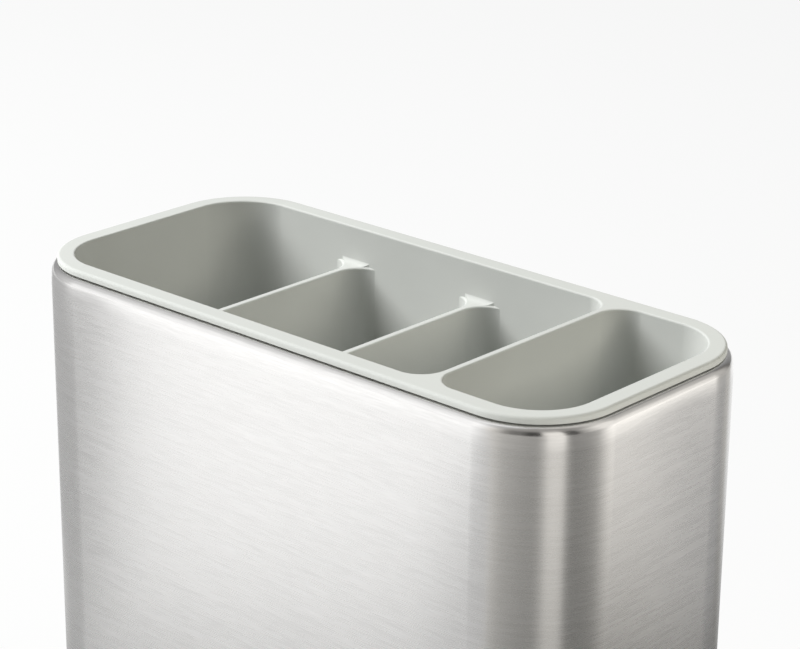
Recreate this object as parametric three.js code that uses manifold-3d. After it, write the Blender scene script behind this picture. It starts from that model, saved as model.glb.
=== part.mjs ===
// A free-standing cutlery drainer. A moulded drip tray on four rubber feet carries a brushed steel
// sleeve, and a moulded insert with three broad pockets and a narrow one hangs in the sleeve by its
// lip. The insert lifts out of the sleeve, and the sleeve lifts off the tray.
//
// Millimetres, +Z up. The origin is on the surface that it stands on, under the middle. +X runs along
// the long side to the narrow pocket, and -Y is the front.

import * as THREE from "three";
import { mergeVertices } from "three/addons/utils/BufferGeometryUtils.js";
import Module from "manifold-3d";

const wasm = await Module();
wasm.setup();

// Overall sizes
const sleeveLength = 179.2;
const sleeveDepth = 83.5;
const sleeveCorner = 23;
const overallHeight = 165;

// Steel sleeve: thin sheet, its top edge rolled inwards to a narrow flange
const sheet = 0.7;
const rimBend = 2.4;
const rimFlange = 4.5;

// Insert: the lip lies on the flange and the pockets hang below it
const lipInset = 1.7;
const lipThickness = 1.8;
const lipRound = 0.5;
const lipUnderRound = 0.3;
const lipGap = 0.3;
const insertClearance = 0.5;
const insertWall = 1.8;
const insertDraft = 0.5;
const insertFloor = 2;
const insertFloorRound = 2;
const dividerWall = 2;
const lowDividerDrop = 10.3;
const narrowPocket = 34.2;
const broadPocketCount = 3;
const pocketOuterCorner = 15;
const pocketInnerCorner = 7.2;
const pocketOverlap = 0.15;
const pocketFloorRound = 5;
const edgeRound = 0.5;
const ledgeRound = 2.2;
const dripGap = 2;

// Drain slots in each pocket's floor, in two rows
const slotWidth = 3;
const slotPitch = 7.2;
const slotSideMargin = 4.5;
const slotEndMargin = 6;
const slotBridge = 6;
const slotRows = 2;

// Base ring: an angle section that closes the sleeve's lower edge
const ringBondGap = 0.3;
const ringWall = 1.8;
const ringFlange = 1.5;
const ringFlangeInset = 0.3;
const ringHeight = 14;
const ringChamfer = 0.6;
const ringSeatGap = 0.3;
const sheetSeatGap = 0.3;

// Drip tray: a plinth that shows below the steel and a basin wall that stands inside the ring
const plinthInset = 1;
const plinthHeight = 5;
const plinthEdge = 0.6;
const spigotClearance = 0.6;
const spigotHeight = 15;
const spigotWall = 2;
const spigotRound = 0.7;
const basinFloor = 2;
const basinFloorRound = 4;
const recessDepth = 1.5;
const recessInset = 4.5;
const ribCount = 3;
const ribPitch = 48;
const ribRadius = 1.2;
const ribStand = 0.3;
const ribTopDrop = 2;

// Rubber feet, pressed into round sockets in the underside of the tray
const footRadius = 7;
const footDrop = 1.5;
const footSocket = 1;
const footFit = 0.3;
const footEdge = 0.6;
const footInset = 17;

// Facets, the overrun of every cut, and how close two points have to be to be one
const cornerSteps = 8;
const roundSteps = 3;
const slotEndSteps = 5;
const footSides = 24;
const ribSides = 10;
const overrun = 4;
const weld = 1e-4;

// Heights, from the surface that it stands on
const plinthFoot = footDrop;
const ledgeHeight = plinthFoot + plinthHeight;
const spigotTop = ledgeHeight + spigotHeight;
const ringFoot = ledgeHeight + ringSeatGap;
const flangeTop = ringFoot + ringFlange;
const sleeveFoot = flangeTop + sheetSeatGap;
const lipUnderside = overallHeight - lipThickness;
const sleeveTop = lipUnderside - lipGap;
const dividerTop = overallHeight - lowDividerDrop;
const insertFoot = spigotTop + dripGap;
const pocketFloor = insertFoot + insertFloor;
const recessTop = plinthFoot + recessDepth;
const basinBottom = recessTop + basinFloor;

// Distances in from the outer face of the sleeve
const insertInset = rimFlange + insertClearance;
const pocketInset = insertInset + insertWall;
const ringOuterInset = sheet + ringBondGap;
const ringInnerInset = ringOuterInset + ringWall;
const spigotInset = ringInnerInset + spigotClearance;
const basinInset = spigotInset + spigotWall;

// How far the insert's walls have drawn in at a height, from nothing at the top of the lip
function draftAt(height) {
  return (insertDraft * (overallHeight - height)) / (overallHeight - insertFoot);
}

// A horizontal ring of points, anticlockwise seen from above, round a rectangle whose left corners
// and right corners have their own radii.
function roundedRing({ left, right, halfDepth, leftRound, rightRound, height }) {
  const corners = [
    [right, halfDepth, rightRound, -1, -1, 0],
    [left, halfDepth, leftRound, 1, -1, 1],
    [left, -halfDepth, leftRound, 1, 1, 2],
    [right, -halfDepth, rightRound, -1, 1, 3],
  ];
  return corners.flatMap(([x, y, radius, inwardX, inwardY, quarter]) =>
    Array.from({ length: cornerSteps + 1 }, (_, step) => {
      const angle = (quarter + step / cornerSteps) * (Math.PI / 2);
      return new THREE.Vector3(
        x + radius * (inwardX + Math.cos(angle)),
        y + radius * (inwardY + Math.sin(angle)),
        height,
      );
    }),
  );
}

// The outline of the sleeve, drawn in by an inset
function outline(inset, height) {
  return roundedRing({
    left: inset - sleeveLength / 2,
    right: sleeveLength / 2 - inset,
    halfDepth: sleeveDepth / 2 - inset,
    leftRound: sleeveCorner - inset,
    rightRound: sleeveCorner - inset,
    height,
  });
}

// Points on a quarter round between two directions, given in quarter turns, as [inset, height] pairs
function quarterRound(inset, height, radius, from, to) {
  return Array.from({ length: roundSteps + 1 }, (_, step) => {
    const angle = (from + ((to - from) * step) / roundSteps) * (Math.PI / 2);
    return [inset + radius * Math.cos(angle), height + radius * Math.sin(angle)];
  });
}

// A closed surface through a stack of rings: capped at both ends, or joined end to start
function skin(rings, { endless = false } = {}) {
  const count = rings[0].length;
  const points = rings.flat();
  const faces = [];
  const bands = endless ? rings.length : rings.length - 1;
  for (let band = 0; band < bands; band += 1) {
    const lower = band * count;
    const upper = ((band + 1) % rings.length) * count;
    for (let j = 0; j < count; j += 1) {
      const next = (j + 1) % count;
      faces.push(lower + j, lower + next, upper + next, lower + j, upper + next, upper + j);
    }
  }
  if (!endless) {
    const top = (rings.length - 1) * count;
    for (let j = 1; j < count - 1; j += 1) {
      faces.push(0, j + 1, j, top, top + j, top + j + 1);
    }
  }
  const geometry = new THREE.BufferGeometry().setFromPoints(points);
  geometry.setIndex(faces);
  return geometry;
}

// A profile of [inset, height] pairs carried round the sleeve's outline
function carriedRound(profile, options) {
  return skin(
    profile.map(([inset, height]) => outline(inset, height)),
    options,
  );
}

function toSolid(geometry) {
  const bare = geometry.clone();
  bare.deleteAttribute("normal");
  bare.deleteAttribute("uv");
  const merged = mergeVertices(bare, weld);
  return new wasm.Manifold(
    new wasm.Mesh({
      numProp: 3,
      vertProperties: merged.attributes.position.array,
      triVerts: new Uint32Array(merged.index.array),
    }),
  );
}

function toGeometry(solid) {
  const { vertProperties, triVerts } = solid.getMesh();
  const geometry = new THREE.BufferGeometry();
  geometry.setAttribute("position", new THREE.BufferAttribute(vertProperties, 3));
  geometry.setIndex(new THREE.BufferAttribute(triVerts, 1));
  return geometry;
}

// Steel sleeve, open at both ends

function makeSleeve() {
  const bendHeight = sleeveTop - rimBend;
  return carriedRound(
    [
      [0, sleeveFoot],
      ...quarterRound(rimBend, bendHeight, rimBend, 2, 1),
      [rimFlange, sleeveTop],
      [rimFlange, sleeveTop - sheet],
      ...quarterRound(rimBend, bendHeight, rimBend - sheet, 1, 2),
      [sheet, sleeveFoot],
    ],
    { endless: true },
  );
}

// Base ring

function makeBaseRing() {
  const ringTop = flangeTop + ringHeight;
  return carriedRound(
    [
      [ringFlangeInset, ringFoot],
      [ringFlangeInset, flangeTop],
      [ringOuterInset, flangeTop],
      [ringOuterInset, ringTop - ringChamfer],
      [ringOuterInset + ringChamfer, ringTop],
      [ringInnerInset, ringTop],
      [ringInnerInset, ringFoot],
    ],
    { endless: true },
  );
}

// Insert

const pocketLeft = pocketInset - sleeveLength / 2;
const pocketRight = -pocketLeft;
const pocketHalfDepth = sleeveDepth / 2 - pocketInset;
const narrowLeft = pocketRight - narrowPocket;
const bayRight = narrowLeft - dividerWall;
const broadPocket =
  (bayRight - pocketLeft - (broadPocketCount - 1) * dividerWall) / broadPocketCount;

// The plans at the height of the lip. The corners at the ends of the insert are wide and those at a
// divider are tight. The broad pockets share one bay, so each reaches a little way past its walls and
// is trimmed by it, and a low divider flares into the walls on a round.
const bay = {
  left: pocketLeft,
  right: bayRight,
  halfDepth: pocketHalfDepth,
  leftRound: pocketOuterCorner,
  rightRound: pocketInnerCorner,
};
const narrow = {
  left: narrowLeft,
  right: pocketRight,
  halfDepth: pocketHalfDepth,
  leftRound: pocketInnerCorner,
  rightRound: pocketOuterCorner,
};
const broad = Array.from({ length: broadPocketCount }, (_, i) => {
  const left = pocketLeft + i * (broadPocket + dividerWall);
  const right = left + broadPocket;
  const first = i === 0;
  const last = i === broadPocketCount - 1;
  return {
    left: first ? left - pocketOverlap : left,
    right: last ? right + pocketOverlap : right,
    halfDepth: pocketHalfDepth + pocketOverlap,
    leftRound: first ? pocketOuterCorner - pocketOverlap : pocketInnerCorner,
    rightRound: last ? pocketInnerCorner - pocketOverlap : pocketInnerCorner,
  };
});

// A ring of a pocket, drawn in by the draft at its height and by an inset
function pocketRing({ left, right, halfDepth, leftRound, rightRound }, inset, height) {
  const drawnIn = draftAt(height) + inset;
  return roundedRing({
    left: left + drawnIn,
    right: right - drawnIn,
    halfDepth: halfDepth - drawnIn,
    leftRound: leftRound - inset,
    rightRound: rightRound - inset,
    height,
  });
}

// The hollow of a pocket with a rounded floor
function hollow(plan, floor, floorRound, top) {
  return toSolid(
    skin(
      [...quarterRound(floorRound, floor + floorRound, floorRound, 3, 2), [0, top]].map(
        ([inset, height]) => pocketRing(plan, inset, height),
      ),
    ),
  );
}

// The mouth of a hollow, opened out in a small round at its edge
function mouth(plan, top) {
  return toSolid(
    skin(
      [
        [edgeRound, top - overrun],
        ...quarterRound(-edgeRound, top - edgeRound, edgeRound, 0, 1),
        [-edgeRound, top + overrun],
      ].map(([inset, height]) => pocketRing(plan, inset, height)),
    ),
  );
}

function makeSlots({ left, right }) {
  const drawnIn = draftAt(pocketFloor);
  const span = right - left - 2 * (drawnIn + slotSideMargin) - slotWidth;
  const columns = Math.floor(span / slotPitch) + 1;
  const usable = 2 * (pocketHalfDepth - drawnIn - slotEndMargin);
  const slotLength = (usable - (slotRows - 1) * slotBridge) / slotRows;
  const endRadius = slotWidth / 2;
  const straight = slotLength / 2 - endRadius;
  const shape = new THREE.Shape();
  shape.absarc(0, straight, endRadius, 0, Math.PI, false);
  shape.absarc(0, -straight, endRadius, Math.PI, 2 * Math.PI, false);
  const cutter = toSolid(
    new THREE.ExtrudeGeometry(shape, {
      depth: insertFloor + 2 * overrun,
      bevelEnabled: false,
      curveSegments: slotEndSteps,
    }),
  );
  const slots = [];
  for (let column = 0; column < columns; column += 1) {
    for (let row = 0; row < slotRows; row += 1) {
      const x = (left + right) / 2 + (column - (columns - 1) / 2) * slotPitch;
      const y = (row - (slotRows - 1) / 2) * (slotLength + slotBridge);
      slots.push(cutter.translate([x, y, insertFoot - overrun]));
    }
  }
  return slots;
}

function makeInsert() {
  const footInsetAtFloor = insertInset + insertDraft;
  let body = toSolid(
    carriedRound([
      ...quarterRound(
        footInsetAtFloor + insertFloorRound,
        insertFoot + insertFloorRound,
        insertFloorRound,
        3,
        2,
      ),
      [insertInset, lipUnderside],
      ...quarterRound(
        lipInset + lipUnderRound,
        lipUnderside + lipUnderRound,
        lipUnderRound,
        3,
        2,
      ),
      ...quarterRound(lipInset + lipRound, overallHeight - lipRound, lipRound, 2, 1),
    ]),
  );
  const shaft = hollow(bay, pocketFloor, pocketFloorRound, overallHeight + overrun);
  body = body.subtract(hollow(bay, dividerTop, ledgeRound, overallHeight + overrun));
  body = body.subtract(mouth(bay, overallHeight));
  for (const pocket of broad) {
    const open = hollow(pocket, pocketFloor, pocketFloorRound, dividerTop + overrun);
    body = body.subtract(open.add(mouth(pocket, dividerTop)).intersect(shaft));
  }
  body = body.subtract(hollow(narrow, pocketFloor, pocketFloorRound, overallHeight + overrun));
  body = body.subtract(mouth(narrow, overallHeight));
  for (const slot of [...broad, narrow].flatMap(makeSlots)) {
    body = body.subtract(slot);
  }
  return toGeometry(body);
}

// Drip tray and its feet

const footPlaces = [-1, 1].flatMap((endways) =>
  [-1, 1].map((sideways) => ({
    endways,
    sideways,
    x: endways * (sleeveLength / 2 - footInset),
    y: sideways * (sleeveDepth / 2 - footInset),
  })),
);

function makeTray() {
  let body = toSolid(
    carriedRound([
      [plinthInset + plinthEdge, plinthFoot],
      ...quarterRound(plinthInset + plinthEdge, plinthFoot + plinthEdge, plinthEdge, 3, 2).slice(1),
      ...quarterRound(plinthInset + plinthEdge, ledgeHeight - plinthEdge, plinthEdge, 2, 1),
      [spigotInset, ledgeHeight],
      ...quarterRound(spigotInset + spigotRound, spigotTop - spigotRound, spigotRound, 2, 1),
    ]),
  );
  for (const side of [-1, 1]) {
    for (let i = 0; i < ribCount; i += 1) {
      body = body.add(
        makeRib().translate([
          (i - (ribCount - 1) / 2) * ribPitch,
          side * (sleeveDepth / 2 - spigotInset - ribRadius + ribStand),
          ledgeHeight,
        ]),
      );
    }
  }
  const basin = carriedRound([
    ...quarterRound(
      basinInset + basinFloorRound,
      basinBottom + basinFloorRound,
      basinFloorRound,
      3,
      2,
    ),
    [basinInset, spigotTop + overrun],
  ]);
  const recess = carriedRound([
    [recessInset, plinthFoot - overrun],
    [recessInset, recessTop],
  ]);
  body = body.subtract(toSolid(basin)).subtract(toSolid(recess));
  const socket = new THREE.CylinderGeometry(
    footRadius + footFit,
    footRadius + footFit,
    footSocket + overrun,
    footSides,
  );
  socket.rotateX(Math.PI / 2);
  socket.translate(0, 0, recessTop + footSocket - (footSocket + overrun) / 2);
  for (const { x, y } of footPlaces) {
    body = body.subtract(toSolid(socket).translate([x, y, 0]));
  }
  return toGeometry(body);
}

// A half-round rib that centres the base ring on the basin wall
function makeRib() {
  const height = spigotHeight - ribTopDrop;
  const rib = new THREE.CylinderGeometry(ribRadius, ribRadius, height, ribSides);
  rib.rotateX(Math.PI / 2);
  rib.translate(0, 0, height / 2);
  return toSolid(rib);
}

function makeFoot() {
  const top = recessTop + footSocket - footFit;
  const profile = [
    new THREE.Vector2(0, 0),
    new THREE.Vector2(footRadius - footEdge, 0),
    new THREE.Vector2(footRadius, footEdge),
    new THREE.Vector2(footRadius, top),
    new THREE.Vector2(0, top),
  ];
  const foot = new THREE.LatheGeometry(profile, footSides);
  foot.rotateX(Math.PI / 2);
  return foot;
}

// Materials and the assembly

const moulding = { roughness: 0.45, metalness: 0 };
const palePlastic = new THREE.MeshStandardMaterial({ color: 0xcbcdc9, ...moulding });
const steel = new THREE.MeshStandardMaterial({ color: 0xc9c7c4, roughness: 0.32, metalness: 1 });
const rubber = new THREE.MeshStandardMaterial({ color: 0x8d908c, roughness: 0.9, metalness: 0 });

function piece(name, geometry, material) {
  const mesh = new THREE.Mesh(geometry, material);
  mesh.name = name;
  return mesh;
}

const drainer = new THREE.Group();
drainer.add(
  piece("drip_tray", makeTray(), palePlastic),
  piece("base_ring", makeBaseRing(), palePlastic),
  piece("steel_sleeve", makeSleeve(), steel),
  piece("pocket_insert", makeInsert(), palePlastic),
);
for (const { endways, sideways, x, y } of footPlaces) {
  const end = endways < 0 ? "left" : "right";
  const side = sideways < 0 ? "front" : "back";
  const foot = piece(`foot_${side}_${end}`, makeFoot(), rubber);
  foot.position.set(x, y, 0);
  drainer.add(foot);
}

export default drainer;
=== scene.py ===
import math

import bmesh
import bpy
from mathutils import Matrix, Vector


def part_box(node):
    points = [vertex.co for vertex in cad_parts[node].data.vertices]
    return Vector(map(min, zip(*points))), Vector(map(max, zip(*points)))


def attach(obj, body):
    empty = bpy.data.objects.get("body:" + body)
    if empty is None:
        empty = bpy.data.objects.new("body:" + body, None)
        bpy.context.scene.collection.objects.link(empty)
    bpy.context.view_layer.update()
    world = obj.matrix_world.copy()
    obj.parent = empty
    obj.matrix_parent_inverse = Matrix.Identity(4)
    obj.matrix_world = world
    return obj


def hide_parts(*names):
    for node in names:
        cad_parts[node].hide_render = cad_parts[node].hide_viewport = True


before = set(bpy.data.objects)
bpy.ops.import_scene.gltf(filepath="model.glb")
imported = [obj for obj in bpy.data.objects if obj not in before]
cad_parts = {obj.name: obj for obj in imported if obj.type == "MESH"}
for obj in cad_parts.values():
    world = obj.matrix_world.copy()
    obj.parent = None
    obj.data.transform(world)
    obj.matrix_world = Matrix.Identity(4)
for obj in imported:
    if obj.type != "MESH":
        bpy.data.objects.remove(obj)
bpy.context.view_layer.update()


# The photographer's camera: a long lens that looks down on the narrow end's front corner. Its place is
# taken from the middle of the insert's lip, which fills the picture.
MM = 0.001
lip_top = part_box("pocket_insert")[1].z
camera_azimuth = math.radians(42.109)
camera_elevation = math.radians(20.285)
camera_roll = math.radians(0.563)
camera_offset = Vector((5.69, -7.73, 625.8)) * MM
camera_lens = 113.455

camera = bpy.data.objects.new("camera", bpy.data.cameras.new("camera"))
bpy.context.collection.objects.link(camera)
camera.data.lens = camera_lens
camera.data.sensor_width = 36
camera.data.clip_start = 0.01
camera.matrix_world = (
    Matrix.Translation((0, 0, lip_top))
    @ Matrix.Rotation(camera_azimuth, 4, "Z")
    @ Matrix.Rotation(math.pi / 2 - camera_elevation, 4, "X")
    @ Matrix.Rotation(camera_roll, 4, "Z")
    @ Matrix.Translation(camera_offset)
)
bpy.context.scene.camera = camera
bpy.context.scene.view_settings.view_transform = "Standard"


# The studio: a pale table that runs out to a white sweep. What the steel mirrors are the cards and the
# dark gaps between them, which stand round the object at the bearings given here.
def node_in(tree, kind, settings=None, **links):
    """Add a node, set its properties, and set or link its inputs.

    An input is given by its name, or by its number as i0, i1 and so on.
    """
    node = tree.nodes.new(kind)
    for name, value in (settings or {}).items():
        setattr(node, name, value)
    for name, value in links.items():
        numbered = name[0] == "i" and name[1:].isdigit()
        socket = node.inputs[int(name[1:]) if numbered else name]
        if isinstance(value, bpy.types.NodeSocket):
            tree.links.new(value, socket)
        else:
            socket.default_value = value
    return node


def ramp_in(tree, factor, stops):
    """Add a colour ramp with its stops given as (position, grey or colour)."""
    node = tree.nodes.new("ShaderNodeValToRGB")
    tree.links.new(factor, node.inputs[0])
    ramp = node.color_ramp
    while len(ramp.elements) < len(stops):
        ramp.elements.new(0.5)
    for element, (position, tone) in zip(ramp.elements, stops):
        element.position = position
        colour = tone if isinstance(tone, tuple) else (tone, tone, tone)
        element.color = (*colour, 1)
    return node.outputs["Color"]


def times(tree, first, second):
    """One colour multiplied by another."""
    settings = {"data_type": "RGBA", "blend_type": "MULTIPLY"}
    return node_in(tree, "ShaderNodeMix", settings, i0=1.0, i6=first, i7=second).outputs[2]


def remap(tree, value, before, after=(0.0, 1.0)):
    """Take a value from one range to another, and hold it inside."""
    (low_in, high_in), (low_out, high_out) = before, after
    return node_in(
        tree, "ShaderNodeMapRange", Value=value, i1=low_in, i2=high_in, i3=low_out, i4=high_out
    ).outputs[0]


# Bearings in degrees from the front, positive towards the narrow end. The polished rim mirrors what stands
# above the table, and the brushed wall what lies on it. Many tones in the first two lists were read off
# samples of the photograph's rim, and those in the third were set by comparing renders with its steel.
standing_cards = [
    (-180, 0.20), (-165, 0.35), (-105, 0.40), (-92, 0.50), (-60, 0.75), (-52, 0.95),
    (-47, 1.12), (-33, 1.25), (-26, 1.10), (-13, 0.80), (-2, 0.50), (4, 0.30),
    (12, 0.20), (25, 0.16), (30, 0.07), (44, 0.06), (49, 0.70), (54, 0.90),
    (70, 0.95), (74, 0.15), (86, 0.06), (92, 0.30), (103, 0.58), (118, 0.95),
    (140, 1.00), (148, 0.55), (163, 0.50), (174, 0.18),
]
high_cards = [
    (-180, 0.60), (-106, 0.55), (-85, 0.72), (-72, 0.95), (-60, 1.15), (-50, 1.00),
    (-40, 0.68), (-28, 0.54), (2, 0.37), (40, 0.30), (75, 0.42), (96, 0.29),
    (112, 0.30), (136, 0.58), (154, 0.70), (180, 0.60),
]
table_cards = [
    (-180, 0.80), (-170, 1.05), (-115, 1.00), (-95, 0.75), (-84, 0.55), (-70, 0.60),
    (-60, 1.00), (-54, 1.18), (-45, 1.18), (-37, 1.12), (-24, 0.88), (-8, 0.60),
    (4, 0.45), (28, 0.36), (42, 0.33), (50, 0.58), (54, 0.92), (71, 1.00),
    (75, 0.42), (80, 0.24), (100, 0.30), (112, 0.45), (128, 1.15), (135, 1.32),
    (142, 1.22), (150, 0.48), (176, 0.50),
]


def cards_by_bearing(tree, vector, cards):
    """The cards' colour in a direction: white up to the front, and cream from there to the narrow end."""
    white, cream, cream_from = (1.0, 1.0, 1.0), (1.03, 1.0, 0.95), -20
    quarter_turn = (0, 0, math.pi / 2)
    turned = node_in(
        tree, "ShaderNodeMapping", {"vector_type": "VECTOR"}, Vector=vector, Rotation=quarter_turn
    ).outputs[0]
    bearing = node_in(
        tree, "ShaderNodeTexGradient", {"gradient_type": "RADIAL"}, Vector=turned
    ).outputs["Fac"]
    return ramp_in(tree, bearing, [
        (degrees / 360 + 0.5, tuple(tone * part for part in (cream if degrees > cream_from else white)))
        for degrees, tone in cards
    ])


backdrop_white = (0.956, 0.956, 0.956, 1)
sky = bpy.data.worlds.new("studio")
bpy.context.scene.world = sky
sky.use_nodes = True
sky.cycles.sampling_method = "NONE"
tree = sky.node_tree
tree.nodes.clear()
high_cards_range = (0.58, 0.86)
direction = node_in(tree, "ShaderNodeTexCoord").outputs["Generated"]
height = node_in(tree, "ShaderNodeSeparateXYZ", Vector=direction).outputs["Z"]
raised = remap(tree, height, high_cards_range)
mirrored = node_in(
    tree, "ShaderNodeMix", {"data_type": "RGBA"}, i0=raised,
    i6=cards_by_bearing(tree, direction, standing_cards), i7=cards_by_bearing(tree, direction, high_cards),
).outputs[2]
rays = node_in(tree, "ShaderNodeLightPath").outputs
fill = node_in(tree, "ShaderNodeBackground", Color=(0.92, 1.0, 0.98, 1), Strength=0.08).outputs[0]
reflection = node_in(tree, "ShaderNodeBackground", Color=mirrored, Strength=1.0).outputs[0]
backdrop = node_in(tree, "ShaderNodeBackground", Color=backdrop_white, Strength=1.0).outputs[0]
lit = node_in(tree, "ShaderNodeMixShader", i0=rays["Is Glossy Ray"], i1=fill, i2=reflection).outputs[0]
seen = node_in(tree, "ShaderNodeMixShader", i0=rays["Is Camera Ray"], i1=lit, i2=backdrop).outputs[0]
node_in(tree, "ShaderNodeOutputWorld", Surface=seen)

bpy.ops.object.select_all(action="DESELECT")
bpy.ops.mesh.primitive_plane_add(size=12, location=(0, 0, 0))
table = bpy.context.active_object
table.name = "table"
paper = bpy.data.materials.new("table_paper")
paper.use_nodes = True
paper.cycles.emission_sampling = "NONE"

# The camera sees plain paper. In the steel the table glows with painted cards, and a painted shadow
# darkens that glow near the object.
white_share = 0.90
gleam_share = 0.88
tree = paper.node_tree
tree.nodes.clear()
rays = node_in(tree, "ShaderNodeLightPath").outputs
place = node_in(tree, "ShaderNodeTexCoord").outputs["Object"]
corner_axis = Vector((66.6, -18.75, 0)) * MM
from_corner = node_in(
    tree, "ShaderNodeVectorMath", {"operation": "SUBTRACT"}, i0=place, i1=corner_axis
).outputs[0]
shade_middle = Vector((110, 29, 0)) * MM
from_shade = node_in(
    tree, "ShaderNodeVectorMath", {"operation": "SUBTRACT"}, i0=place, i1=shade_middle
).outputs[0]
distance = node_in(tree, "ShaderNodeVectorMath", {"operation": "LENGTH"}, i0=from_shade).outputs["Value"]
# Painted shadow: the table's glow in the steel gets darker towards the object, where its shadow falls.
shade_stops = [(0.10, 0.0), (0.205, 0.27), (0.325, 0.80), (0.465, 1.06), (0.66, 1.08)]
painted_shadow_tone = ramp_in(tree, distance, shade_stops)
painted_table_reflection = times(tree, cards_by_bearing(tree, from_corner, table_cards), painted_shadow_tone)
pale = node_in(tree, "ShaderNodeBsdfDiffuse", Color=(0.90, 0.90, 0.89, 1)).outputs[0]
white = node_in(tree, "ShaderNodeEmission", Color=(0.965, 0.965, 0.965, 1), Strength=1.0).outputs[0]
shown = node_in(tree, "ShaderNodeMixShader", i0=white_share, i1=pale, i2=white).outputs[0]
gleam = node_in(tree, "ShaderNodeEmission", Color=painted_table_reflection, Strength=1.0).outputs[0]
sheen = node_in(tree, "ShaderNodeMixShader", i0=gleam_share, i1=pale, i2=gleam).outputs[0]
lit = node_in(tree, "ShaderNodeMixShader", i0=rays["Is Glossy Ray"], i1=pale, i2=sheen).outputs[0]
seen = node_in(tree, "ShaderNodeMixShader", i0=rays["Is Camera Ray"], i1=lit, i2=shown).outputs[0]
node_in(tree, "ShaderNodeOutputMaterial", Surface=seen)
table.data.materials.append(paper)


def softbox(name, place, size, watts, colour):
    """A square lamp that faces the lip of the drainer, and is not itself mirrored in the steel."""
    lamp = bpy.data.objects.new(name, bpy.data.lights.new(name, "AREA"))
    bpy.context.collection.objects.link(lamp)
    lamp.data.size = size
    lamp.data.energy = watts
    lamp.data.color = colour
    lamp.location = place
    lamp.rotation_euler = (Vector(place) - Vector((0, 0, lip_top))).to_track_quat("Z", "Y").to_euler()
    lamp.visible_glossy = False
    lamp.visible_camera = False


softbox("key_softbox", (-0.91, -0.50, 1.09), 1.00, 36.0, (0.99, 1.0, 1.0))
softbox("side_softbox", (0.47, 0.13, 0.38), 0.22, 1.0, (1.0, 0.96, 0.85))
softbox("low_softbox", (0.30, -0.19, 0.09), 0.12, 0.20, (1.0, 0.98, 0.93))


def flag(name, start, end, top, tone):
    """An upright card between two points of the table, in mm. It is seen in the steel alone."""
    start, end = Vector(start) * MM, Vector(end) * MM
    bpy.ops.object.select_all(action="DESELECT")
    bpy.ops.mesh.primitive_plane_add(size=1)
    card = bpy.context.active_object
    card.name = name
    card.scale = ((end - start).length, top, 1)
    card.rotation_euler = (math.pi / 2, 0, math.atan2(end.y - start.y, end.x - start.x))
    card.location = ((start.x + end.x) / 2, (start.y + end.y) / 2, top / 2)
    bpy.ops.object.transform_apply(location=True, rotation=True, scale=True)
    paint = bpy.data.materials.new(name + "_paint")
    paint.use_nodes = True
    paint.cycles.emission_sampling = "NONE"
    paint.node_tree.nodes.clear()
    shade = node_in(paint.node_tree, "ShaderNodeEmission", Color=(tone, tone, tone, 1)).outputs[0]
    node_in(paint.node_tree, "ShaderNodeOutputMaterial", Surface=shade)
    card.data.materials.append(paint)
    card.visible_camera = False
    card.visible_diffuse = False
    card.visible_shadow = False


flag("left_flag", (-158, -135), (-280, 60), 0.13, 0.50)
flag("front_flag", (-26, -147), (34, -198), 0.10, 0.60)
flag("right_flag", (211, 160), (129, 233), 0.095, 0.38)


# The feet: four round pads of grey rubber, pressed into sockets under the tray. A groove in each sole
# helps it to grip. One is moulded and the other three are its copies.
def settle(name):
    """Name the newest object and put its place into its mesh."""
    piece = bpy.context.active_object
    piece.name = name
    piece.data.name = name
    bpy.ops.object.transform_apply(location=True, rotation=True, scale=True)
    return piece


def take(piece):
    """Select one piece and nothing else."""
    bpy.ops.object.select_all(action="DESELECT")
    piece.select_set(True)
    bpy.context.view_layer.objects.active = piece


def pick(piece, kind, wanted):
    """Go into edit mode with only the wanted faces or edges selected."""
    take(piece)
    bpy.ops.object.mode_set(mode="EDIT")
    bpy.ops.mesh.select_mode(type=kind)
    bpy.ops.mesh.select_all(action="DESELECT")
    mesh = bmesh.from_edit_mesh(piece.data)
    mesh.normal_update()
    for item in mesh.faces if kind == "FACE" else mesh.edges:
        if wanted(item):
            item.select_set(True)
    mesh.select_flush_mode()
    bmesh.update_edit_mesh(piece.data)


def leave():
    bpy.ops.object.mode_set(mode="OBJECT")


# How near to a height counts as at it, and the slopes that tell flat faces from upright faces and edges.
slack = 1e-6
flat = 0.9999
steep = 0.1
standing = 0.9


def level(z):
    """A test for edges that lie flat at a height."""
    return lambda edge: all(abs(vertex.co.z - z) < slack for vertex in edge.verts)


def crease(z):
    """A test for edges at a height where a flat face meets an upright one."""
    return lambda edge: level(z)(edge) and any(abs(face.normal.z) < steep for face in edge.link_faces)


def facing(z_sign, z=None):
    """A test for flat faces that point straight up or down, at a height if one is given."""
    return lambda face: (
        face.normal.z * z_sign > flat and (z is None or abs(face.calc_center_median().z - z) < slack)
    )


def round_edges(piece, wanted, radius, segments):
    pick(piece, "EDGE", wanted)
    bpy.ops.mesh.bevel(offset=radius, segments=segments, profile=0.5, affect="EDGES")
    leave()


def draw_in(distance):
    bpy.ops.mesh.inset(thickness=distance, use_even_offset=True)


def push(height):
    bpy.ops.mesh.extrude_region_move(TRANSFORM_OT_translate={"value": (0, 0, height)})


def apply_modifiers(piece):
    take(piece)
    for modifier in list(piece.modifiers):
        bpy.ops.object.modifier_apply(modifier=modifier.name)


def smooth(piece, degrees=32):
    """Shade the rounds smooth and keep the flats flat."""
    take(piece)
    bpy.ops.object.shade_smooth_by_angle(angle=math.radians(degrees))
    weighted = piece.modifiers.new("flats", "WEIGHTED_NORMAL")
    weighted.keep_sharp = True
    weighted.weight = 100
    apply_modifiers(piece)


def copy_across(piece, name, shift):
    """Copy a piece to another place, with a mesh of its own."""
    take(piece)
    bpy.ops.object.duplicate(linked=False)
    bpy.ops.transform.translate(value=shift)
    return settle(name)


def new_material(name, colour):
    """A material with a Principled shader, and the tree and shader to work on."""
    material = bpy.data.materials.new(name)
    material.use_nodes = True
    material.diffuse_color = (*colour, 1)
    shader = material.node_tree.nodes["Principled BSDF"]
    shader.inputs["Base Color"].default_value = (*colour, 1)
    return material, material.node_tree, shader


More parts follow.
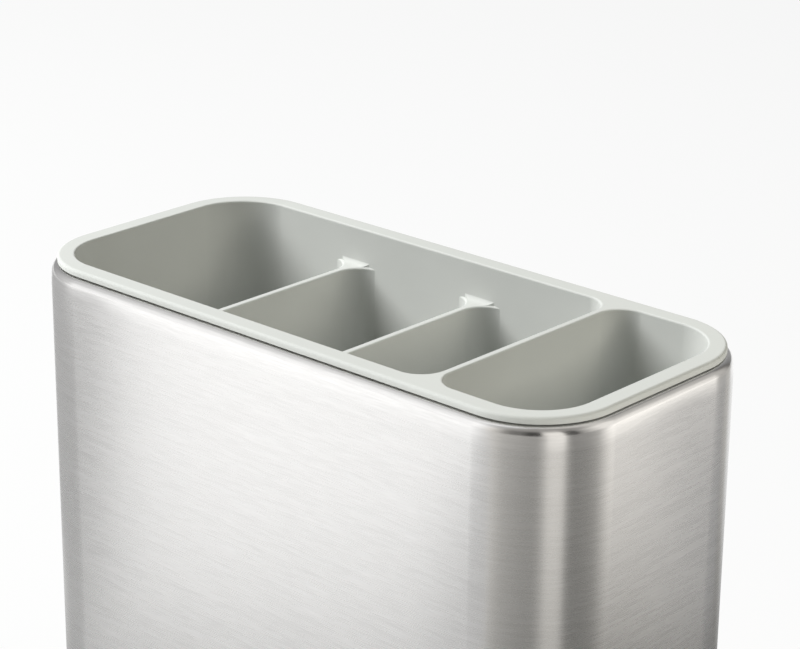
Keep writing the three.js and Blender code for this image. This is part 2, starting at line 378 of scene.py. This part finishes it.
def noise_in(tree, place, scale, detail, roughness=0.5):
    """A cloudy pattern, finer with a larger scale."""
    return node_in(
        tree, "ShaderNodeTexNoise", Vector=place, Scale=scale, Detail=detail, Roughness=roughness
    ).outputs["Fac"]


def finish_surface(tree, shader, tone, rough, relief, strength, distance):
    """Give a shader its colour, roughness and fine relief."""
    tree.links.new(tone, shader.inputs["Base Color"])
    tree.links.new(rough, shader.inputs["Roughness"])
    bump = node_in(tree, "ShaderNodeBump", Strength=strength, Distance=distance, Height=relief).outputs[0]
    tree.links.new(bump, shader.inputs["Normal"])


foot_sides = 64
foot_edge = 0.6 * MM
foot_top_edge = 0.3 * MM
sole_rim = 1.8 * MM
sole_groove = 1.4 * MM
groove_depth = 0.5 * MM
groove_edge = 0.2 * MM

low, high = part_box("foot_front_left")
bpy.ops.object.select_all(action="DESELECT")
bpy.ops.mesh.primitive_cylinder_add(
    vertices=foot_sides, radius=(high.x - low.x) / 2, depth=high.z - low.z, location=(low + high) / 2
)
foot = settle("rubber_foot_front_left")
round_edges(foot, level(low.z), foot_edge, segments=4)
round_edges(foot, level(high.z), foot_top_edge, segments=2)
pick(foot, "FACE", facing(-1, low.z))
draw_in(sole_rim - foot_edge)
push(groove_depth)
draw_in(sole_groove)
push(-groove_depth)
leave()
round_edges(foot, crease(low.z), groove_edge, segments=2)
smooth(foot)

rubber, tree, shader = new_material("grey_rubber", (0.42, 0.425, 0.42))
shader.inputs["Specular IOR Level"].default_value = 0.3
place = node_in(tree, "ShaderNodeTexCoord").outputs["Object"]
cloud = noise_in(tree, place, scale=260.0, detail=3.0)
pores = noise_in(tree, place, scale=3800.0, detail=2.0)
tone = ramp_in(tree, cloud, [(0.3, (0.38, 0.385, 0.38)), (0.7, (0.45, 0.455, 0.45))])
rough = remap(tree, cloud, (0.3, 0.7), (0.72, 0.86))
finish_surface(tree, shader, tone, rough, pores, strength=0.25, distance=0.04 * MM)
foot.data.materials.append(rubber)

feet = {"foot_front_left": foot}
for name in ("foot_back_left", "foot_front_right", "foot_back_right"):
    feet[name] = copy_across(foot, "rubber_" + name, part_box(name)[0] - low)
for name, pad in feet.items():
    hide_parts(name)
    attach(pad, "tray")


# The drip tray: one satin moulding. Its plinth shows below the steel, its ledge carries the base ring,
# and its basin wall stands up inside the ring, which six small ribs centre.
def start_block(name, low, high):
    """A box primitive at its size and place."""
    low, high = Vector(low), Vector(high)
    bpy.ops.object.select_all(action="DESELECT")
    bpy.ops.mesh.primitive_cube_add(size=1, location=(low + high) / 2, scale=high - low)
    return settle(name)


def start_rod(name, radius, sides, low, high):
    """An upright cylinder primitive between two heights of one axis."""
    low, high = Vector(low), Vector(high)
    bpy.ops.object.select_all(action="DESELECT")
    bpy.ops.mesh.primitive_cylinder_add(
        vertices=sides, radius=radius, depth=high.z - low.z, location=(low + high) / 2
    )
    return settle(name)


def upright(edge):
    along = edge.verts[1].co - edge.verts[0].co
    return abs(along.z) > standing * along.length


def combine(piece, tool, operation):
    """Join or cut a piece with a tool, whose bent faces are split first, and put the tool away."""
    pick(tool, "FACE", lambda face: True)
    bpy.ops.mesh.quads_convert_to_tris()
    leave()
    boolean = piece.modifiers.new("cut", "BOOLEAN")
    boolean.operation = operation
    boolean.solver = "EXACT"
    boolean.object = tool
    apply_modifiers(piece)
    bpy.data.objects.remove(tool)


corner_steps = 32
plinth_corner = 22.0 * MM
plinth_height = 5.0 * MM
plinth_edge = 0.6 * MM
basin_wall_inset = 2.4 * MM
basin_wall = 2.0 * MM
basin_wall_round = 0.7 * MM
basin_inner_round = 0.4 * MM
basin_depth = 16.5 * MM
basin_floor_round = 4.0 * MM
recess_margin = 3.5 * MM
recess_depth = 1.5 * MM
socket_radius = 7.3 * MM
socket_depth = 1.0 * MM
rib_radius = 1.2 * MM
rib_sides = 24
rib_stand = 0.3 * MM
rib_pitch = 48.0 * MM
rib_top_drop = 2.0 * MM
sunk = 1.0 * MM

low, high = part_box("drip_tray")
ledge = low.z + plinth_height
basin_floor = high.z - basin_depth
tray = start_block("moulded_tray", low, (high.x, high.y, ledge))
round_edges(tray, upright, plinth_corner, corner_steps)
round_edges(tray, level(low.z), plinth_edge, segments=4)
round_edges(tray, level(ledge), plinth_edge, segments=4)
pick(tray, "FACE", facing(1))
draw_in(basin_wall_inset - plinth_edge)
push(high.z - ledge)
leave()
round_edges(tray, level(high.z), basin_wall_round, segments=5)
pick(tray, "FACE", facing(1, high.z))
draw_in(basin_wall - basin_wall_round)
push(-basin_depth)
leave()
round_edges(tray, crease(high.z), basin_inner_round, segments=3)
round_edges(tray, level(basin_floor), basin_floor_round, segments=8)
pick(tray, "FACE", facing(-1, low.z))
draw_in(recess_margin - plinth_edge)
push(recess_depth)
leave()
rib_y = high.y - basin_wall_inset - rib_radius + rib_stand
for side in (-1, 1):
    for place in (-1, 0, 1):
        foot_of_rib = (place * rib_pitch, side * rib_y, ledge - sunk)
        top_of_rib = (place * rib_pitch, side * rib_y, high.z - rib_top_drop)
        rib = start_rod("rib", rib_radius, rib_sides, foot_of_rib, top_of_rib)
        round_edges(rib, level(top_of_rib[2]), rib_stand, segments=2)
        combine(tray, rib, "UNION")
recess_top = low.z + recess_depth
for pad in feet.values():
    middle = sum((Vector(corner) for corner in pad.bound_box), Vector()) / len(pad.bound_box)
    bottom = (middle.x, middle.y, recess_top - sunk)
    top = (middle.x, middle.y, recess_top + socket_depth)
    combine(tray, start_rod("socket", socket_radius, foot_sides, bottom, top), "DIFFERENCE")
smooth(tray)

plastic, tree, shader = new_material("satin_moulding", (0.60, 0.61, 0.585))
shader.inputs["Specular IOR Level"].default_value = 0.35
place = node_in(tree, "ShaderNodeTexCoord").outputs["Object"]
cloud = noise_in(tree, place, scale=38.0, detail=2.0)
grain = noise_in(tree, place, scale=2600.0, detail=2.0)
tone = ramp_in(tree, cloud, [(0.3, (0.590, 0.600, 0.575)), (0.7, (0.610, 0.620, 0.595))])
rough = remap(tree, grain, (0.3, 0.7), (0.46, 0.54))
finish_surface(tree, shader, tone, rough, grain, strength=0.08, distance=0.03 * MM)
tray.data.materials.append(plastic)
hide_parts("drip_tray")
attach(tray, "tray")


# The base ring: an angle section of the same moulding, bonded in the sleeve's raw lower edge. Its flange
# covers that edge and its wall reaches up inside the steel.
ring_corner = 22.7 * MM
ring_flange = 1.5 * MM
ring_flange_width = 2.5 * MM
ring_wall = 1.8 * MM
ring_edge = 0.3 * MM
ring_chamfer = 0.6 * MM

low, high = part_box("base_ring")
flange_top = low.z + ring_flange
ring = start_block("bonded_base_ring", low, (high.x, high.y, flange_top))
round_edges(ring, upright, ring_corner, corner_steps)
round_edges(ring, level(low.z), ring_edge, segments=3)
round_edges(ring, level(flange_top), ring_edge, segments=3)
pick(ring, "FACE", facing(1))
draw_in(ring_flange_width - ring_wall - ring_edge)
push(high.z - flange_top)
leave()
round_edges(ring, level(high.z), ring_chamfer, segments=3)
pick(ring, "FACE", facing(1, high.z))
draw_in(ring_wall - ring_chamfer)
bpy.ops.mesh.delete(type="FACE")
leave()
pick(ring, "FACE", facing(-1, low.z))
draw_in(ring_flange_width - ring_edge)
bpy.ops.mesh.delete(type="FACE")
leave()
pick(ring, "EDGE", lambda edge: edge.is_boundary)
bpy.ops.mesh.bridge_edge_loops()
leave()
smooth(ring)
ring.data.materials.append(plastic)
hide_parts("base_ring")
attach(ring, "sleeve")


# The sleeve: one band of thin stainless sheet, its weld ground flush, brushed all round and open at both
# ends. Its top edge leans in a little, then rolls over to the narrow flange that carries the insert's lip.
sleeve_corner = 23.0 * MM
sheet = 0.7 * MM
lean_bend = 46.0 * MM
lean = math.radians(5)
rim_bend = 2.2 * MM
flange_width = 4.5 * MM
lean_steps = 8
rim_steps = 16

low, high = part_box("steel_sleeve")
lean_rise = lean_bend * math.sin(lean)
rim_rise = rim_bend * (1 - math.sin(lean))
rim_width = lean_bend * (1 - math.cos(lean)) + rim_bend * math.cos(lean)
lean_start = high.z - rim_rise - lean_rise
sleeve = start_block("brushed_sleeve", low, (high.x, high.y, lean_start))
round_edges(sleeve, upright, sleeve_corner, corner_steps)
pick(sleeve, "FACE", facing(-1))
bpy.ops.mesh.delete(type="FACE")
leave()
pick(sleeve, "FACE", facing(1))
bends = ((lean_bend, 0, lean, lean_steps), (rim_bend, lean, math.pi / 2, rim_steps))
for radius, first, last, steps in bends:
    for step in range(steps):
        start, end = (first + (last - first) * (step + turn) / steps for turn in (0, 1))
        inwards = radius * (math.cos(start) - math.cos(end))
        bpy.ops.mesh.inset(thickness=inwards, depth=radius * (math.sin(end) - math.sin(start)))
draw_in(flange_width - rim_width)
bpy.ops.mesh.delete(type="FACE")
leave()
wall = sleeve.modifiers.new("sheet", "SOLIDIFY")
wall.thickness = sheet
wall.offset = -1
wall.use_even_offset = True
apply_modifiers(sleeve)
smooth(sleeve)

steel, tree, shader = new_material("brushed_steel", (0.795, 0.787, 0.778))
shader.inputs["Metallic"].default_value = 1.0
shader.inputs["Anisotropic"].default_value = 0.75
shader.inputs["Anisotropic Rotation"].default_value = 0.25
around = node_in(tree, "ShaderNodeTangent", {"direction_type": "RADIAL", "axis": "Z"}).outputs[0]
tree.links.new(around, shader.inputs["Tangent"])
place = node_in(tree, "ShaderNodeTexCoord").outputs["Object"]
long_share = 0.4
fine_place = node_in(tree, "ShaderNodeMapping", Vector=place, Scale=(150, 150, 1900)).outputs[0]
fine_grain = noise_in(tree, fine_place, scale=1.0, detail=3.0, roughness=0.65)
long_place = node_in(tree, "ShaderNodeMapping", Vector=place, Scale=(40, 40, 800)).outputs[0]
long_grain = noise_in(tree, long_place, scale=1.0, detail=4.0, roughness=0.6)
grain = node_in(
    tree, "ShaderNodeMix", {"data_type": "FLOAT"}, i0=long_share, i2=fine_grain, i3=long_grain
).outputs[0]
rise = node_in(tree, "ShaderNodeSeparateXYZ", Vector=place).outputs["Z"]
polish = remap(tree, rise, (lean_start, high.z - rim_rise / 2), (1.0, 0.6))
brushed = remap(tree, grain, (0.35, 0.65), (0.26, 0.29))
rough = node_in(tree, "ShaderNodeMath", {"operation": "MULTIPLY"}, i0=brushed, i1=polish).outputs[0]
tone = ramp_in(tree, grain, [(0.35, (0.750, 0.742, 0.733)), (0.65, (0.840, 0.832, 0.823))])
finish_surface(tree, shader, tone, rough, grain, strength=0.01, distance=0.05 * MM)
sleeve.data.materials.append(steel)
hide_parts("steel_sleeve")
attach(sleeve, "sleeve")


# The insert: one satin moulding in pale grey. Its lip lies on the steel, three broad pockets share a bay
# above two low dividers, and the narrow pocket stands behind a full one. All its walls are drafted.
lip_corner = 21.3 * MM
lip_thick = 1.8 * MM
lip_round = 0.8 * MM
lip_under_round = 0.15 * MM
lip_overhang = 3.3 * MM
wall_corner = 18.0 * MM
draft = 0.5 * MM
insert_floor_round = 2.0 * MM

low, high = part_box("pocket_insert")
lip = start_block("lip", (low.x, low.y, high.z - lip_thick), high)
round_edges(lip, upright, lip_corner, corner_steps)
round_edges(lip, level(high.z), lip_round, segments=8)
round_edges(lip, level(high.z - lip_thick), lip_under_round, segments=4)


def drawn_in(rise):
    """How far a drafted wall comes in over a height."""
    return draft * rise / (high.z - low.z)


def taper_down(piece, middle, rise):
    """Draw the foot of a moulded wall in on every side."""
    pick(piece, "FACE", facing(-1))
    mesh = bmesh.from_edit_mesh(piece.data)
    xs = [vertex.co.x for vertex in mesh.verts if vertex.select]
    ys = [vertex.co.y for vertex in mesh.verts if vertex.select]
    narrower = 1 - 2 * drawn_in(rise) / (max(xs) - min(xs))
    shallower = 1 - 2 * drawn_in(rise) / (max(ys) - min(ys))
    bpy.ops.transform.resize(value=(narrower, shallower, 1), center_override=middle)
    leave()


insert = start_block(
    "insert_moulding",
    (low.x + lip_overhang, low.y + lip_overhang, low.z),
    (high.x - lip_overhang, high.y - lip_overhang, high.z - lip_thick / 2),
)
round_edges(insert, upright, wall_corner, corner_steps)
taper_down(insert, (0, 0, low.z), high.z - low.z)
round_edges(insert, level(low.z), insert_floor_round, segments=6)
combine(insert, lip, "UNION")

wall_thick = 1.8 * MM
floor_thick = 2.0 * MM
broad_pockets = 3
divider_thick = 2.0 * MM
divider_drop = 10.3 * MM
narrow_width = 34.2 * MM
end_corner = 15.0 * MM
divider_corner = 7.2 * MM
pocket_corner_steps = 24
pocket_floor_round = 5.0 * MM
mouth_round = 0.5 * MM
mouth_steps = 6
ledge_round = 1.6 * MM
reach = 0.1 * MM
overrun = 4.0 * MM

pocket_left = low.x + lip_overhang + wall_thick
pocket_right = -pocket_left
pocket_half = high.y - lip_overhang - wall_thick
narrow_left = pocket_right - narrow_width
bay_right = narrow_left - divider_thick
broad_width = (bay_right - pocket_left - (broad_pockets - 1) * divider_thick) / broad_pockets
pocket_floor = low.z + floor_thick
divider_top = high.z - divider_drop


def upright_at(x):
    """A test for the upright edges at one end of a block."""
    return lambda edge: upright(edge) and abs(edge.verts[0].co.x - x) < slack


def open_mouth(length, depth, middle):
    """Let a tool's picked top grow outwards on a quarter round, and then rise clear of the work."""
    out = rise = 0.0
    for step in range(1, mouth_steps + 1):
        angle = step / mouth_steps * math.pi / 2
        next_out = mouth_round * (1 - math.cos(angle))
        next_rise = mouth_round * math.sin(angle)
        wider = (length + 2 * next_out) / (length + 2 * out)
        deeper = (depth + 2 * next_out) / (depth + 2 * out)
        push(next_rise - rise)
        bpy.ops.transform.resize(value=(wider, deeper, 1), center_override=middle)
        out, rise = next_out, next_rise
    push(overrun)


def pocket_tool(name, plan, floor, floor_round, top, with_mouth=True):
    """A drafted hollow with rounded corners, a rounded floor and a mouth that opens out at its edge."""
    left, right, half, left_round, right_round = plan
    inward = drawn_in(high.z - top)
    shoulder = top - mouth_round if with_mouth else top + overrun
    middle = (left + right) / 2
    low_corner = (left + inward, inward - half, floor)
    high_corner = (right - inward, half - inward, shoulder)
    tool = start_block(name, low_corner, high_corner)
    round_edges(tool, upright_at(left + inward), left_round, pocket_corner_steps)
    round_edges(tool, upright_at(right - inward), right_round, pocket_corner_steps)
    taper_down(tool, (middle, 0, floor), shoulder - floor)
    round_edges(tool, level(floor), floor_round, segments=8)
    if with_mouth:
        pick(tool, "FACE", facing(1, shoulder))
        open_mouth(right - left - 2 * inward, 2 * (half - inward), (middle, 0, shoulder))
        leave()
    return tool


bay = (pocket_left, bay_right, pocket_half, end_corner, divider_corner)
narrow = (narrow_left, pocket_right, pocket_half, divider_corner, end_corner)
combine(insert, pocket_tool("bay", bay, pocket_floor, pocket_floor_round, high.z), "DIFFERENCE")
narrow_tool = pocket_tool("narrow_pocket", narrow, pocket_floor, pocket_floor_round, high.z)
combine(insert, narrow_tool, "DIFFERENCE")


def hollow_divider(divider, left):
    """Cut a broad pocket out of a divider's block."""
    plan = (left, left + broad_width, pocket_half + reach, divider_corner, divider_corner)
    pocket = pocket_tool("broad_pocket", plan, pocket_floor - reach, pocket_floor_round, divider_top)
    combine(divider, pocket, "DIFFERENCE")


# Each low divider is a block that is hollowed on both sides and joined to the shell at its ends and foot.
top_plan = (pocket_left, bay_right, pocket_half + reach, end_corner, divider_corner)
for place in range(1, broad_pockets):
    right_pocket = pocket_left + place * (broad_width + divider_thick)
    left_pocket = right_pocket - broad_width - divider_thick
    divider = start_block(
        "low_divider",
        (left_pocket + broad_width / 2, -pocket_half - wall_thick / 2, pocket_floor - floor_thick / 2),
        (right_pocket + broad_width / 2, pocket_half + wall_thick / 2, divider_top + 2 * ledge_round),
    )
    top_tool = pocket_tool("divider_top", top_plan, divider_top, ledge_round, high.z, with_mouth=False)
    combine(divider, top_tool, "DIFFERENCE")
    hollow_divider(divider, left_pocket)
    hollow_divider(divider, right_pocket)
    combine(insert, divider, "UNION")

# The drain slots stand in two rows across each floor, cut with one long round-ended tool and its copies.
slot_width = 3.0 * MM
slot_pitch = 7.2 * MM
slot_side_margin = 4.5 * MM
slot_end_margin = 6.0 * MM
slot_bridge = 6.0 * MM
slot_sides = 26
slot_edge = 0.35 * MM

floor_in = drawn_in(high.z - pocket_floor)
slot_length = pocket_half - floor_in - slot_end_margin - slot_bridge / 2
below_floor = (0, 0, low.z - overrun)
above_floor = (0, 0, pocket_floor + overrun)
slot = start_rod("slots", slot_width / 2, slot_sides, below_floor, above_floor)
pick(slot, "EDGE", lambda edge: all(vertex.co.y > 0 for vertex in edge.verts))
bpy.ops.transform.translate(value=(0, slot_length - slot_width, 0))
leave()
slots = []
wells = [
    (pocket_left + place * (broad_width + divider_thick), broad_width) for place in range(broad_pockets)
]
for left, width in wells + [(narrow_left, narrow_width)]:
    span = width - 2 * (floor_in + slot_side_margin) - slot_width
    columns = int(span / slot_pitch) + 1
    for column in range(columns):
        x = left + width / 2 + (column - (columns - 1) / 2) * slot_pitch
        for start in (slot_bridge / 2, -slot_bridge / 2 - slot_length):
            slots.append(copy_across(slot, "slot", (x, start + slot_width / 2, 0)))
bpy.data.objects.remove(slot)
for slot in slots:
    slot.select_set(True)
bpy.ops.object.join()
combine(insert, bpy.context.active_object, "DIFFERENCE")
round_edges(insert, crease(pocket_floor), slot_edge, segments=2)
smooth(insert)
insert.data.materials.append(plastic)
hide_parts("pocket_insert")
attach(insert, "insert")
